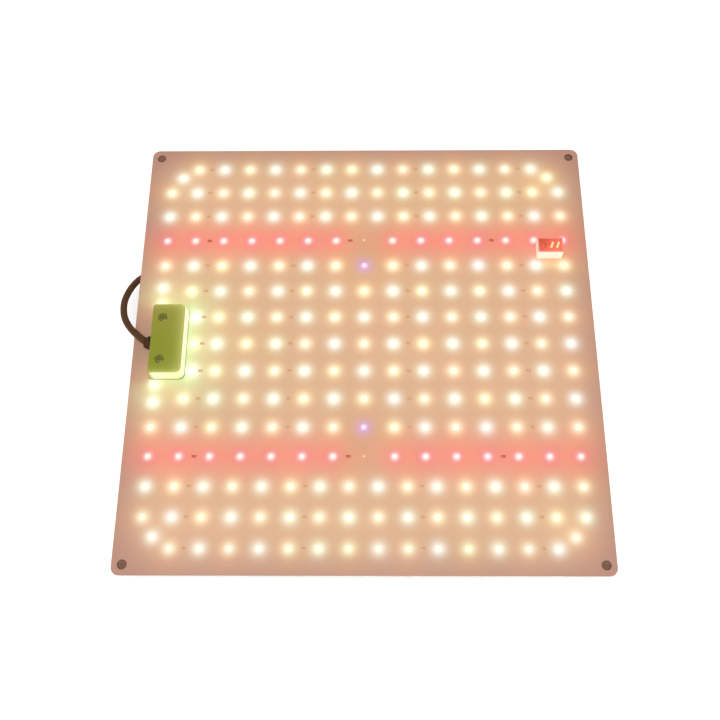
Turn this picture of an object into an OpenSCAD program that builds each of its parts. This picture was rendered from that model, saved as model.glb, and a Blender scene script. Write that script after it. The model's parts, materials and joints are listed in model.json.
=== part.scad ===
// LED grow light: a square LED panel on a thin aluminium plate, with a green terminal cover,
// a link header and a driver fastened to the plate's back.
// Origin: centre of the four hanging holes, on the plate's back face. The LEDs face +Z.

/* [Panel] */
// Side of the square panel
panel_side = 300; // [296:1:310]
// Radius of the panel's corners
panel_corner_r = 5; // [3:0.5:6]
// Thickness of the aluminium plate
plate_t = 1.8; // [1.5:0.1:3]
// Thickness of the printed circuit and its solder mask
circuit_t = 0.2; // [0.1:0.05:0.3]
// Distance between the hanging holes, both ways
hole_spacing = 287; // [284:1:288]
// Diameter of the hanging holes
hole_d = 6; // [4:0.5:7]

/* [LED rows] */
// Distance between the outermost LEDs, both ways
led_span = 268; // [260:1:270]
// Distance of a corner LED from the panel's centre lines
corner_led = 127; // [125:0.5:128]
// Side of an LED package
package_w = 3; // [2.8:0.1:3.4]
// Height of an LED package
package_h = 0.7; // [0.5:0.05:1]
// Side of the phosphor window in a white package
window_w = 2.3; // [2:0.1:2.6]
// Depth of the phosphor window
window_h = 0.4; // [0.3:0.05:0.45]
// Radius of the domed lens on a coloured package
lens_r = 1.2; // [1:0.05:1.4]

/* [Terminal cover] */
// Width of the cover at its foot
cover_w = 22.8; // [22:0.2:24]
// Length of the cover at its foot
cover_l = 50; // [48:0.5:52]
// Height of the cover above the gasket
cover_h = 9.4; // [9.4:0.2:10]
// Gap between the cover's outer foot and the panel's edge
cover_inset = 12; // [11.6:0.2:12.4]
// Thickness of the cover's walls
cover_wall = 1.6; // [1.4:0.1:1.8]
// Draft of the cover's walls over their height
cover_draft = 0.9; // [0.5:0.1:1]
// Thickness of the gasket
gasket_t = 0.6; // [0.4:0.1:0.8]
// Distance between the two cover screws
cover_screw_pitch = 29.3; // [28.5:0.1:30]

/* [Link header] */
// Width of the header's shroud
header_w = 16.6; // [16:0.2:17]
// Depth of the header's shroud
header_d = 10.8; // [10.4:0.2:11.2]
// Height of the header's shroud
header_h = 10; // [9:0.5:11]
// Pitch of the header's pins
header_pitch = 3.96; // [3.9:0.02:3.98]

/* [Driver] */
// Length of the driver's extruded case
case_l = 150; // [146:1:154]
// Width of the driver's case
case_w = 62; // [60:1:66]
// Height of the driver's case
case_h = 32; // [32:0.5:34]
// Height of the spacers between the plate and the driver
spacer_h = 4; // [3:0.5:6]
// Thickness of an end cap
cap_t = 3; // [2.5:0.5:3.5]

/* [Link lead] */
// Diameter of the lead between the cover and the driver
lead_d = 4.4; // [4:0.1:4.6]
// Diameter of an insulated core
core_d = 1.7; // [1.5:0.1:1.9]
// Diameter of mains cord that the mains gland takes
mains_bore_d = 7; // [6:0.5:7.2]

/* [Hidden] */
$fn = 48;
board_t = plate_t + circuit_t;
eps = 0.01;

// LED grid. Rows are numbered from -7 to 7 upwards. The three rows at the top and at the bottom hold
// sixteen LEDs at a tighter pitch, and the nine rows between them hold fifteen.
last_row = 7;
first_dense_row = 5;
red_row = 4;
uv_row = 3;
row_pitch = led_span / (2 * last_row);
dense_pitch = led_span / (2 * last_row + 1);
// Where the column beside the cover is moved clear of it, by row: none at row 0.
beside_cover_y = [0, 28.8, 40.6];
beside_cover_x = 110.5;
COOL = 0;
WARM = 1;
RED = 2;
UV = 3;
INFRARED = 4;

function is_dense(row) = abs(row) >= first_dense_row;
function first_led(row) = is_dense(row) ? -last_row - 1 : -last_row;
function is_corner(i, row) = abs(row) == last_row && (i == -last_row - 1 || i == last_row);
function beside_cover(i, row) = i == -last_row && abs(row) < len(beside_cover_y);
function led_x(i, row) =
    is_corner(i, row) ? sign(i) * corner_led :
    is_dense(row) ? (i + 0.5) * dense_pitch :
    (i == 1 - last_row && abs(row) <= 1) ? -beside_cover_x :
    i * row_pitch;
function led_y(i, row) =
    is_corner(i, row) ? sign(row) * corner_led :
    beside_cover(i, row) ? sign(row) * beside_cover_y[abs(row)] :
    row * row_pitch;
function led_kind(i, row) =
    abs(row) == red_row ? (i == 0 ? INFRARED : RED) :
    (abs(row) == uv_row && i == 0) ? UV :
    abs(i + row) % 2 == 0 ? WARM : COOL;
leds = [for (row = [-last_row : last_row], i = [first_led(row) : last_row])
    if (!(i == -last_row && row == 0)) [led_x(i, row), led_y(i, row), led_kind(i, row)]];

// Chip resistors sit midway between two LEDs of a row, at these LED steps from the centre.
resistor_size = [3.2, 1.6, 0.6];
dense_resistors = [-6, -2, 2, 6];
white_resistors = [-5.5, -2.5, 1.5, 5.5];
red_resistors = [-5.5, -0.5, 4.5];
function resistor_xs(row) =
    is_dense(row) ? [for (s = dense_resistors) s * dense_pitch] :
    abs(row) == red_row ? [for (s = red_resistors) s * row_pitch] :
    [for (s = white_resistors) s * row_pitch];

// Terminal cover
cover_x0 = -panel_side / 2 + cover_inset;
cover_z0 = board_t + gasket_t;
cover_top = cover_z0 + cover_h;
cover_inner_r = 3.5;
cover_outer_r = 2;
cover_screw_x = cover_x0 + 7.6;
cover_screw_y = cover_screw_pitch / 2;
boss_r = 3.9;
counterbore_r = 3;
screw_seat_z = cover_z0 + 6;
m3_r = 1.5;
m3_clear_r = 1.7;
screw_head_r = 2.5;
screw_head_h = 1.6;
cover_nut_r = 3.4;
cover_nut_h = 2.4;

// Terminal block under the cover
block_size = [11, 16, 7];
block_x = cover_x0 + 8.6;
pole_y = 2.6;
cage_size = [5, 3.6, 5];
cage_window = 2.4;
cage_x = block_x + 3;
terminal_screw_r = 1.3;

// Link lead: it leaves the cover, loops round the panel's edge and enters the driver's output gland.
lead_y = -1.5;
lead_z = 6.6;
driver_z = -20;
lead_route = [
    [-134.5, -1.5, 6.6], [-139, -1.3, 6.6], [-144, 1.6, 6.4], [-149.5, 6.5, 5.8], [-154, 12, 4.8],
    [-157.5, 18.5, 3], [-159.5, 26, 0.5], [-160, 33.5, -2], [-159, 41, -5], [-157, 48, -8],
    [-153.5, 54.5, -11], [-147.5, 59.5, -13.5], [-139.5, 61.5, -15.5], [-131, 59, -17],
    [-125, 52.5, -18], [-121.5, 43.5, -19], [-119, 33.5, -19.5], [-116, 23.5, -20],
    [-111, 14, -20], [-104.5, 6.5, -20], [-97, 1.6, -20], [-90, 0, -20], [-80, 0, -20], [-70, 0, -20]];
lead_sides = 10;
core_sides = 8;
core_gap = 1.1;
core_turns = 6;

// Cable bush in the cover's wall
bush_flange_r = 4.3;
bush_neck_r = 2.9;
bush_inner_r = 3.6;
bush_lip = 1.4;
bush_taper = 2.6;
bush_end_r = 3;
bush_pad = [2.6, 9.6];

// Link header
header_x = 124;
header_y = 67.6;
header_floor = 2;
header_wall = 0.9;
header_pins = 4;
header_pin_w = 1.14;
header_pin_y = 2.6;
header_pin_top = 8.5;
header_key = [1.6, 0.7, 8];

// Driver case
case_top = -spacer_h;
case_bottom = case_top - case_h;
case_wall = 2;
case_r = 3;
inner_y = case_w / 2 - case_wall;
port_y = inner_y - 2.5;
port_zs = [case_top - 6.5, case_bottom + 4.5];
port_r = 2.5;
groove_w = 1.2;
groove_depth = 0.8;
groove_pitch = 4;
groove_last = 6;
side_grooves = 2;
end_gasket_t = 0.5;
cap_x = case_l / 2 + end_gasket_t;
gasket_band = 5.2;
foot_l = 14;
foot_t = 3;
stud_x = cap_x + cap_t + 7;
stud_y = 20;
stud_r = 2;
stud_len = 11;
stud_flange_r = 2.75;
stud_flange_h = 0.7;
spacer_r = 5;
spacer_bore_r = 2.8;
foot_hole_r = 2.2;
washer_r = 4.5;
washer_h = 0.8;
stud_nut_r = 4.04;
stud_nut_h = 3;

// Glands: dimensions along the gland's own axis, from the end cap's outer face
gland_thread_r = 6;
gland_flange_r = 8.66;
gland_flange_h = 4;
gland_inner_l = 7;
gland_neck_l = 5;
gland_neck_r = 5.6;
gland_bore_r = 3.8;
gland_chamber_r = 4.4;
gland_cap_gap = 0.3;
gland_cap_r = 8.08;
gland_dome_l = 4;
gland_dome_r1 = 6.9;
gland_dome_r2 = 5.2;
locknut_h = 3;

// Driver electronics
pcb_l = 140;
pcb_w = 56;
pcb_t = 1.6;
pcb_z = case_bottom + 7.6;
pcb_top = pcb_z + pcb_t;
rail_t = 1.4;
rail_w = 2;
core_size = [28, 16, 17];
core_leg = 8;
core_window = [5, 11];
winding_size = [17.6, 22, 10.6];
transformer_x = 8;
bulk_r = 6.25;
bulk_h = 18;
bulk_xs = [30, 45];
bulk_y = 9;
output_cap_r = 5;
output_cap_h = 15;
output_cap_x = -34;
output_cap_y = 9;
choke_x = 42;
choke_y = -15;
choke_r = 6;
choke_wire_r = 2.6;
film_size = [6, 17, 11];
film_x = 28;
film_y = -15;
transistor_size = [10, 4, 11.6];
transistor_xs = [-24, 26];
transistor_lift = 1.8;
pad_t = 0.5;
pad_size = [14, 11.6];
output_terminal_size = [8, 12, 10];
output_terminal_x = -64;
mains_terminal_size = [10, 17, 10];
mains_terminal_x = 55;
wire_entry = 2.4;
wire_entry_l = 4;
mains_pole_y = 5;

// --- Shapes used more than once ---

// Rounded rectangle from x0 to x1 with one radius at the x0 corners and one at the x1 corners
module two_radius_plan(x0, x1, half_l, r0, r1) {
    translate([x0 + r0, -half_l]) square([x1 - x0 - r0 - r1, 2 * half_l]);
    translate([x0, -half_l + r0]) square([r0 + eps, 2 * (half_l - r0)]);
    translate([x1 - r1 - eps, -half_l + r1]) square([r1 + eps, 2 * (half_l - r1)]);
    for (s = [-1, 1]) {
        translate([x0 + r0, s * (half_l - r0)]) circle(r = r0);
        translate([x1 - r1, s * (half_l - r1)]) circle(r = r1);
    }
}

module rounded_plan(w, l, r) {
    two_radius_plan(-w / 2, w / 2, l / 2, r, r);
}

module at_corners(dx, dy) {
    for (sx = [-1, 1], sy = [-1, 1]) translate([sx * dx, sy * dy, 0]) children();
}

module at_leds(kind) {
    for (led = leds) if (led[2] == kind) translate([led[0], led[1], board_t]) children();
}

module at_cover_screws() {
    for (s = [-1, 1]) translate([cover_screw_x, s * cover_screw_y, 0]) children();
}

module at_studs() {
    at_corners(stud_x, stud_y) children();
}

module tube(outer_r, inner_r, h) {
    difference() {
        cylinder(r = outer_r, h = h);
        translate([0, 0, -1]) cylinder(r = inner_r, h = h + 2);
    }
}

module hex_ring(outer_r, inner_r, h) {
    difference() {
        cylinder(r = outer_r, h = h, $fn = 6);
        translate([0, 0, -1]) cylinder(r = inner_r, h = h + 2);
    }
}

// Turns a shape drawn upwards so that it points along +X or -X from an end cap's outer face
module at_end(side) {
    translate([side * (cap_x + cap_t), 0, driver_z]) rotate([0, side * 90, 0]) children();
}

// A Catmull-Rom curve through the route's points
function along(p0, p1, p2, p3, t) = 0.5 * (2 * p1 + (p2 - p0) * t
    + (2 * p0 - 5 * p1 + 4 * p2 - p3) * t * t + (3 * p1 - p0 - 3 * p2 + p3) * t * t * t);
function pick(route, i) = route[max(0, min(len(route) - 1, i))];
function smooth(route, steps) = concat(
    [for (i = [0 : len(route) - 2], s = [0 : steps - 1])
        along(pick(route, i - 1), route[i], route[i + 1], pick(route, i + 2), s / steps)],
    [route[len(route) - 1]]);
function unit(v) = v / norm(v);
function heading(path, i) =
    i == 0 || i == len(path) - 1 ? [1, 0, 0] * sign(path[min(i + 1, len(path) - 1)][0] - pick(path, i - 1)[0]) :
    unit(path[i + 1] - path[i - 1]);

// A round lead swept along a path that never runs straight up, square-cut along X at both ends
module swept(path, r, sides) {
    rings = [for (i = [0 : len(path) - 1])
        let (t = heading(path, i), u = unit(cross(t, [0, 0, 1])), v = cross(u, t))
        for (k = [0 : sides - 1]) path[i] + r * (cos(360 * k / sides) * u + sin(360 * k / sides) * v)];
    last = (len(path) - 1) * sides;
    polyhedron(rings, concat(
        [[for (k = [0 : sides - 1]) k]],
        [[for (k = [sides - 1 : -1 : 0]) last + k]],
        [for (i = [0 : len(path) - 2], k = [0 : sides - 1])
            let (a = i * sides + k, b = i * sides + (k + 1) % sides)
            [a, a + sides, b + sides, b]]), convexity = 8);
}

// An insulated core from the lead's end to a terminal, fanning out sideways
module fan_core(x0, x1, z, centre_y, y0, y1) {
    path = [for (i = [0 : core_turns]) let (f = i / core_turns)
        [x0 + (x1 - x0) * f, centre_y + y0 + (y1 - y0) * (1 - cos(180 * f)) / 2, z]];
    swept(path, core_d / 2, core_sides);
}

// --- Panel ---

module panel_outline() {
    difference() {
        rounded_plan(panel_side, panel_side, panel_corner_r);
        at_corners(hole_spacing / 2, hole_spacing / 2) circle(d = hole_d);
        at_cover_screws() circle(r = m3_clear_r);
    }
}

module base_plate() {
    color("silver") linear_extrude(plate_t) panel_outline();
}

module circuit_layer() {
    color("bisque") translate([0, 0, plate_t]) linear_extrude(circuit_t) panel_outline();
}

module white_package() {
    difference() {
        translate([-package_w / 2, -package_w / 2, 0]) cube([package_w, package_w, package_h]);
        translate([-window_w / 2, -window_w / 2, package_h - window_h]) cube([window_w, window_w, 1]);
    }
}

module phosphor() {
    translate([-window_w / 2, -window_w / 2, package_h - window_h]) cube([window_w, window_w, window_h]);
}

module coloured_package() {
    translate([-package_w / 2, -package_w / 2, 0]) cube([package_w, package_w, package_h]);
}

module lens() {
    intersection() {
        translate([0, 0, package_h]) sphere(r = lens_r);
        translate([0, 0, package_h]) cylinder(r = lens_r + 1, h = lens_r + 1);
    }
}

module cool_packages() { color("white") at_leds(COOL) white_package(); }
module cool_phosphors() { color("lightyellow") at_leds(COOL) phosphor(); }
module warm_packages() { color("white") at_leds(WARM) white_package(); }
module warm_phosphors() { color("khaki") at_leds(WARM) phosphor(); }
module red_packages() { color("mistyrose") at_leds(RED) coloured_package(); }
module red_lenses() { color("red") at_leds(RED) lens(); }
module uv_packages() { color("gainsboro") at_leds(UV) coloured_package(); }
module uv_lenses() { color("violet") at_leds(UV) lens(); }
module infrared_packages() { color("gainsboro") at_leds(INFRARED) coloured_package(); }
module infrared_lenses() { color("dimgray") at_leds(INFRARED) lens(); }

module chip_resistors() {
    color("saddlebrown")
        for (row = [-last_row : last_row], x = resistor_xs(row))
            translate([x - resistor_size[0] / 2, row * row_pitch - resistor_size[1] / 2, board_t])
                cube(resistor_size);
}

// --- Terminal cover and what is under it ---

// Drafted block with rounded corners: inset is the wall already taken off, top its height
module cover_block(inset, z0, h) {
    x0 = cover_x0 + inset;
    x1 = cover_x0 + cover_w - inset;
    half_l = cover_l / 2 - inset;
    r0 = max(0.6, cover_outer_r - inset);
    r1 = cover_inner_r - inset;
    hull() for (s = [-1, 1]) {
        translate([x0 + r0, s * (half_l - r0), z0])
            cone_corner(r0, h, s, 1);
        translate([x1 - r1, s * (half_l - r1), z0])
            cone_corner(r1, h, s, -1);
    }
}

// Corner post whose top leans inwards by the draft
module cone_corner(r, h, sy, sx) {
    linear_extrude(eps) circle(r = r, $fn = 32);
    translate([sx * cover_draft, -sy * cover_draft, h - eps]) linear_extrude(eps) circle(r = r, $fn = 32);
}

module terminal_cover() {
    color("yellowgreen") difference() {
        union() {
            difference() {
                cover_block(0, cover_z0, cover_h);
                cover_block(cover_wall, cover_z0 - eps, cover_h - cover_wall + eps);
            }
            // Screw bosses and a square pad round the cable's hole
            at_cover_screws() translate([0, 0, board_t]) cylinder(r = boss_r, h = cover_top - board_t - eps);
            translate([cover_x0, lead_y - bush_pad[1] / 2, cover_z0]) cube([bush_pad[0], bush_pad[1], cover_h - 1]);
        }
        at_cover_screws() translate([0, 0, screw_seat_z]) cylinder(r = counterbore_r, h = cover_h);
        at_cover_screws() cylinder(r = m3_clear_r, h = screw_seat_z + 1);
        translate([cover_x0 - 1, lead_y, lead_z]) rotate([0, 90, 0]) cylinder(r = bush_neck_r, h = bush_pad[0] + 2);
    }
}

module cover_gasket() {
    color("dimgray") translate([0, 0, board_t]) linear_extrude(gasket_t) difference() {
        two_radius_plan(cover_x0, cover_x0 + cover_w, cover_l / 2, cover_outer_r, cover_inner_r);
        two_radius_plan(cover_x0 + cover_wall, cover_x0 + cover_w - cover_wall,
            cover_l / 2 - cover_wall, 0.6, cover_inner_r - cover_wall);
    }
}

module cover_screws() {
    slot = [3.6, 0.7, 0.9];
    color("dimgray") at_cover_screws() difference() {
        union() {
            translate([0, 0, screw_seat_z]) cylinder(r = screw_head_r, h = screw_head_h);
            translate([0, 0, -cover_nut_h]) cylinder(r = m3_r, h = screw_seat_z + cover_nut_h + eps);
        }
        for (turn = [0, 90]) rotate([0, 0, turn])
            translate([-slot[0] / 2, -slot[1] / 2, screw_seat_z + screw_head_h - slot[2]]) cube([slot[0], slot[1], 2]);
    }
}

module cover_nuts() {
    color("silver") at_cover_screws() translate([0, 0, -cover_nut_h]) tube(cover_nut_r, m3_r, cover_nut_h);
}

module terminal_block() {
    color("olivedrab") difference() {
        translate([block_x, lead_y - block_size[1] / 2, board_t]) cube(block_size);
        for (s = [-1, 1]) translate([0, lead_y + s * pole_y, 0]) {
            translate([cage_x, -cage_size[1] / 2, board_t + 1])
                cube([cage_size[0], cage_size[1], block_size[2]]);
            translate([block_x - 1, -wire_entry / 2, lead_z - wire_entry / 2])
                cube([cage_x - block_x + 2, wire_entry, wire_entry]);
        }
    }
}

module terminal_clamps() {
    color("gold") for (s = [-1, 1]) translate([cage_x, lead_y + s * pole_y, board_t + 1]) difference() {
        translate([0, -cage_size[1] / 2, 0]) cube(cage_size);
        translate([-1, -cage_window / 2, lead_z - board_t - 1 - cage_window / 2])
            cube([cage_size[0] - 1, cage_window, cage_window]);
    }
}

module terminal_screws() {
    slot = [2.2, 0.6, 0.5];
    h = 1.4;
    color("silver") for (s = [-1, 1])
        translate([cage_x + cage_size[0] / 2, lead_y + s * pole_y, board_t + 1 + cage_size[2]]) difference() {
            cylinder(r = terminal_screw_r, h = h);
            translate([-slot[0] / 2, -slot[1] / 2, h - slot[2]]) cube([slot[0], slot[1], 1]);
        }
}

// --- Link lead ---

module cable_bush() {
    color("sienna") translate([cover_x0, lead_y, lead_z]) rotate([0, -90, 0]) difference() {
        union() {
            cylinder(r = bush_flange_r, h = bush_lip);
            translate([0, 0, bush_lip]) cylinder(r1 = bush_flange_r - 0.4, r2 = bush_end_r, h = bush_taper);
            translate([0, 0, -bush_pad[0]]) cylinder(r = bush_neck_r, h = bush_pad[0] + eps);
            translate([0, 0, -bush_pad[0] - bush_lip]) cylinder(r = bush_inner_r, h = bush_lip);
        }
        // The bore opens out where the lead starts to bend
        translate([0, 0, -bush_pad[0] - 2]) cylinder(r = lead_d / 2 + 0.05, h = bush_pad[0] + 10);
        cylinder(r1 = lead_d / 2, r2 = bush_end_r - 0.2, h = bush_lip + bush_taper);
        translate([0, 0, bush_lip + bush_taper]) cylinder(r = bush_end_r - 0.2, h = 1);
    }
}

module link_lead() {
    color("sienna") swept(smooth(lead_route, 1), lead_d / 2, lead_sides);
}

module cores(side) {
    cover_end = lead_route[0][0];
    driver_end = lead_route[len(lead_route) - 1][0];
    fan_core(cover_end, cage_x + 2, lead_z, lead_y, side * core_gap, side * pole_y);
    fan_core(driver_end, output_terminal_x + wire_entry_l, driver_z, 0, side * core_gap, side * pole_y);
}

module red_cores() { color("red") cores(1); }
module black_cores() { color("black") cores(-1); }

// --- Link header ---

module header_shell() {
    inner_w = header_w - 2 * header_wall;
    inner_d = header_d - 2 * header_wall;
    color("ivory") translate([header_x, header_y, board_t]) difference() {
        translate([-header_w / 2, -header_d / 2, 0]) cube([header_w, header_d, header_h]);
        translate([-inner_w / 2, -inner_d / 2, header_floor]) cube([inner_w, inner_d, header_h]);
        at_header_pins() cube([header_pin_w, header_pin_w, 3 * header_floor], center = true);
        // Polarising slots in the back wall
        for (s = [-1, 1]) translate([s * header_pitch - header_key[0] / 2, header_d / 2 - header_key[1], header_floor])
            cube([header_key[0], header_key[1] + 1, header_key[2] + 1]);
    }
}

module at_header_pins() {
    for (i = [0 : header_pins - 1])
        translate([(i - (header_pins - 1) / 2) * header_pitch, header_pin_y, 0]) children();
}

module header_pins() {
    color("gold") translate([header_x, header_y, board_t]) at_header_pins()
        translate([-header_pin_w / 2, -header_pin_w / 2, 0]) cube([header_pin_w, header_pin_w, header_pin_top]);
}

// --- Driver case ---

// The extrusion's section is drawn with Y across and Z up
module case_outline() {
    translate([0, (case_top + case_bottom) / 2]) rounded_plan(case_w, case_h, case_r);
}

module at_ports() {
    for (s = [-1, 1], z = port_zs) translate([s * port_y, z]) children();
}

module case_section() {
    difference() {
        case_outline();
        difference() {
            translate([-inner_y, case_bottom + case_wall]) square([2 * inner_y, case_h - 2 * case_wall]);
            // Screw ports, webbed to the side walls, and the rails that hold the circuit board
            at_ports() circle(r = port_r);
            for (s = [-1, 1], z = port_zs) translate([s > 0 ? port_y : -inner_y - 1, z - port_r])
                square([inner_y - port_y + 1, 2 * port_r]);
            for (s = [-1, 1], z = [pcb_z - rail_t, pcb_top])
                translate([s > 0 ? inner_y - rail_w : -inner_y - 1, z]) square([rail_w + 1, rail_t]);
        }
        at_ports() circle(r = m3_r);
        for (i = [-groove_last : groove_last])
            translate([i * groove_pitch - groove_w / 2, case_bottom - 1]) square([groove_w, groove_depth + 1]);
        for (s = [-1, 1], i = [-side_grooves : side_grooves])
            translate([s > 0 ? case_w / 2 - groove_depth : -case_w / 2 - 1,
                (case_top + case_bottom) / 2 + i * groove_pitch - groove_w / 2]) square([groove_depth + 1, groove_w]);
    }
}

module along_x(x0, length) {
    translate([x0, 0, 0]) rotate([90, 0, 90]) linear_extrude(length) children();
}

module driver_case() {
    color("silver") along_x(-case_l / 2, case_l) case_section();
}

// End cap with a foot that carries the driver. It is drawn for the +X end.
module end_cap() {
    difference() {
        union() {
            along_x(cap_x, cap_t) case_outline();
            translate([cap_x + cap_t - eps, -case_w / 2 + case_r, case_top - foot_t])
                cube([foot_l + eps, case_w - 2 * case_r, foot_t]);
        }
        along_x(cap_x - 1, cap_t + 2) {
            translate([0, driver_z]) circle(r = gland_thread_r);
            at_ports() circle(r = m3_clear_r);
        }
        for (s = [-1, 1]) translate([stud_x, s * stud_y, case_top - foot_t - 1])
            cylinder(r = foot_hole_r, h = foot_t + 2);
    }
}

module output_end_cap() { color("dimgray") mirror([1, 0, 0]) end_cap(); }
module mains_end_cap() { color("dimgray") end_cap(); }

module end_cap_gaskets() {
    color("black") for (side = [0, 1]) mirror([side, 0, 0]) along_x(case_l / 2, end_gasket_t) difference() {
        case_outline();
        translate([0, (case_top + case_bottom) / 2]) square([case_w - 2 * gasket_band, case_h - 2 * gasket_band], center = true);
        at_ports() circle(r = m3_clear_r);
    }
}

module end_cap_screws() {
    head_r = 2.75;
    head_h = 1.8;
    length = 12;
    recess = [3.4, 0.7, 1];
    color("gainsboro") for (side = [-1, 1], s = [-1, 1], z = port_zs)
        translate([side * (cap_x + cap_t), s * port_y, z]) rotate([0, side * 90, 0]) difference() {
            union() {
                cylinder(r = head_r, h = head_h);
                translate([0, 0, -length]) cylinder(r = m3_r, h = length + eps);
            }
            for (turn = [0, 90]) rotate([0, 0, turn])
                translate([-recess[0] / 2, -recess[1] / 2, head_h - recess[2]]) cube([recess[0], recess[1], 2]);
        }
}

// --- Glands ---

module gland_body() {
    difference() {
        union() {
            translate([0, 0, -gland_inner_l]) cylinder(r = gland_thread_r, h = gland_inner_l + eps);
            cylinder(r = gland_flange_r, h = gland_flange_h, $fn = 6);
            translate([0, 0, gland_flange_h - eps]) cylinder(r = gland_neck_r, h = gland_neck_l + eps);
        }
        translate([0, 0, -gland_inner_l - 1]) cylinder(r = gland_bore_r, h = gland_inner_l + gland_flange_h + 2);
        translate([0, 0, gland_flange_h]) cylinder(r = gland_chamber_r, h = gland_neck_l + 1);
    }
}

module gland_seal(bore_r) {
    translate([0, 0, gland_flange_h]) tube(gland_chamber_r, bore_r, gland_neck_l);
}

module gland_cap(mouth_r) {
    neck_top = gland_flange_h + gland_neck_l;
    difference() {
        union() {
            translate([0, 0, gland_flange_h + gland_cap_gap])
                cylinder(r = gland_cap_r, h = gland_neck_l - gland_cap_gap, $fn = 6);
            translate([0, 0, neck_top - eps]) cylinder(r1 = gland_dome_r1, r2 = gland_dome_r2, h = gland_dome_l);
        }
        translate([0, 0, gland_flange_h]) cylinder(r = gland_neck_r, h = gland_neck_l);
        cylinder(r = mouth_r, h = neck_top + gland_dome_l + 1);
    }
}

module output_gland_body() { color("black") at_end(-1) gland_body(); }
module output_gland_cap() { color("black") at_end(-1) gland_cap(lead_d / 2 + 0.3); }
module output_gland_seal() { color("dimgray") at_end(-1) gland_seal(lead_d / 2); }
module mains_gland_body() { color("black") at_end(1) gland_body(); }
module mains_gland_cap() { color("black") at_end(1) gland_cap(gland_bore_r); }
module mains_gland_seal() { color("dimgray") at_end(1) gland_seal(mains_bore_d / 2); }

module gland_locknuts() {
    color("black") for (side = [-1, 1]) at_end(side)
        translate([0, 0, -cap_t - locknut_h]) hex_ring(gland_flange_r, gland_thread_r, locknut_h);
}

// --- Driver fixing ---

module mounting_studs() {
    color("gainsboro") at_studs() {
        translate([0, 0, -stud_len]) cylinder(r = stud_r, h = stud_len);
        translate([0, 0, -stud_flange_h]) cylinder(r = stud_flange_r, h = stud_flange_h);
    }
}

module spacers() {
    color("whitesmoke") at_studs() translate([0, 0, -spacer_h]) tube(spacer_r, spacer_bore_r, spacer_h);
}

module stud_washers() {
    color("silver") at_studs() translate([0, 0, -spacer_h - foot_t - washer_h]) tube(washer_r, foot_hole_r, washer_h);
}

module stud_nuts() {
    color("gainsboro") at_studs() translate([0, 0, -spacer_h - foot_t - washer_h - stud_nut_h])
        hex_ring(stud_nut_r, stud_r, stud_nut_h);
}

// --- Driver electronics ---

module on_board(x, y) {
    translate([x, y, pcb_top]) children();
}

module driver_circuit_board() {
    color("darkgreen") translate([-pcb_l / 2, -pcb_w / 2, pcb_z]) cube([pcb_l, pcb_w, pcb_t]);
}

// Two windows leave the centre leg that carries the winding
module transformer_core() {
    color("dimgray") on_board(transformer_x, 0) difference() {
        translate([-core_size[0] / 2, -core_size[1] / 2, 0]) cube(core_size);
        for (s = [-1, 1]) translate([s * (core_leg + core_window[0]) / 2, 0, core_size[2] / 2])
            cube([core_window[0], core_size[1] + 2, core_window[1]], center = true);
    }
}

module transformer_winding() {
    color("gold") on_board(transformer_x, 0) translate([0, 0, core_size[2] / 2]) difference() {
        cube(winding_size, center = true);
        cube([core_leg, core_size[1], winding_size[2] + 2], center = true);
    }
}

module bulk_capacitors() {
    color("navy") for (x = bulk_xs) on_board(x, bulk_y) cylinder(r = bulk_r, h = bulk_h);
}

module output_capacitors() {
    color("navy") for (s = [-1, 1]) on_board(output_cap_x, s * output_cap_y)
        cylinder(r = output_cap_r, h = output_cap_h);
}

module input_choke() {
    color("peru") on_board(choke_x, choke_y) translate([0, 0, choke_wire_r])
        rotate_extrude() translate([choke_r, 0]) circle(r = choke_wire_r);
}

module filter_capacitor() {
    color("goldenrod") on_board(film_x, film_y) translate([-film_size[0] / 2, -film_size[1] / 2, 0]) cube(film_size);
}

module power_transistors() {
    leg = [0.8, 0.6];
    color("black") for (x = transistor_xs) on_board(x, inner_y - pad_t - transistor_size[1]) {
        translate([-transistor_size[0] / 2, 0, transistor_lift]) cube(transistor_size);
        for (i = [-1 : 1]) translate([i * 2.54 - leg[0] / 2, 1, 0]) cube([leg[0], leg[1], transistor_lift + eps]);
    }
}

module insulating_pads() {
    color("lightgray") for (x = transistor_xs) on_board(x - pad_size[0] / 2, inner_y - pad_t)
        translate([0, 0, rail_t]) cube([pad_size[0], pad_t, pad_size[1]]);
}

// Wire terminal on the circuit board: its entries face the cable gland
module wire_terminal(size, x, pole_ys, entry_x) {
    difference() {
        on_board(x, -size[1] / 2) cube(size);
        for (y = pole_ys) translate([entry_x, y - wire_entry / 2, driver_z - wire_entry / 2])
            cube([wire_entry_l, wire_entry, wire_entry]);
    }
}

module output_terminal() {
    color("ivory") wire_terminal(output_terminal_size, output_terminal_x, [-pole_y, pole_y], output_terminal_x);
}

module mains_terminal() {
    color("ivory") wire_terminal(mains_terminal_size, mains_terminal_x, [-mains_pole_y, 0, mains_pole_y],
        mains_terminal_x + mains_terminal_size[0] - wire_entry_l);
}

base_plate();
circuit_layer();
cool_packages();
cool_phosphors();
warm_packages();
warm_phosphors();
red_packages();
red_lenses();
uv_packages();
uv_lenses();
infrared_packages();
infrared_lenses();
chip_resistors();
terminal_cover();
cover_gasket();
cover_screws();
cover_nuts();
terminal_block();
terminal_clamps();
terminal_screws();
cable_bush();
link_lead();
red_cores();
black_cores();
header_shell();
header_pins();
driver_case();
output_end_cap();
mains_end_cap();
end_cap_gaskets();
end_cap_screws();
output_gland_body();
output_gland_cap();
output_gland_seal();
mains_gland_body();
mains_gland_cap();
mains_gland_seal();
gland_locknuts();
mounting_studs();
spacers();
stud_washers();
stud_nuts();
driver_circuit_board();
transformer_core();
transformer_winding();
bulk_capacitors();
output_capacitors();
input_choke();
filter_capacitor();
power_transistors();
insulating_pads();
output_terminal();
mains_terminal();
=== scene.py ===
"""Visual model of the LED grow light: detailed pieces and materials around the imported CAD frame."""

import json
import math

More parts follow.
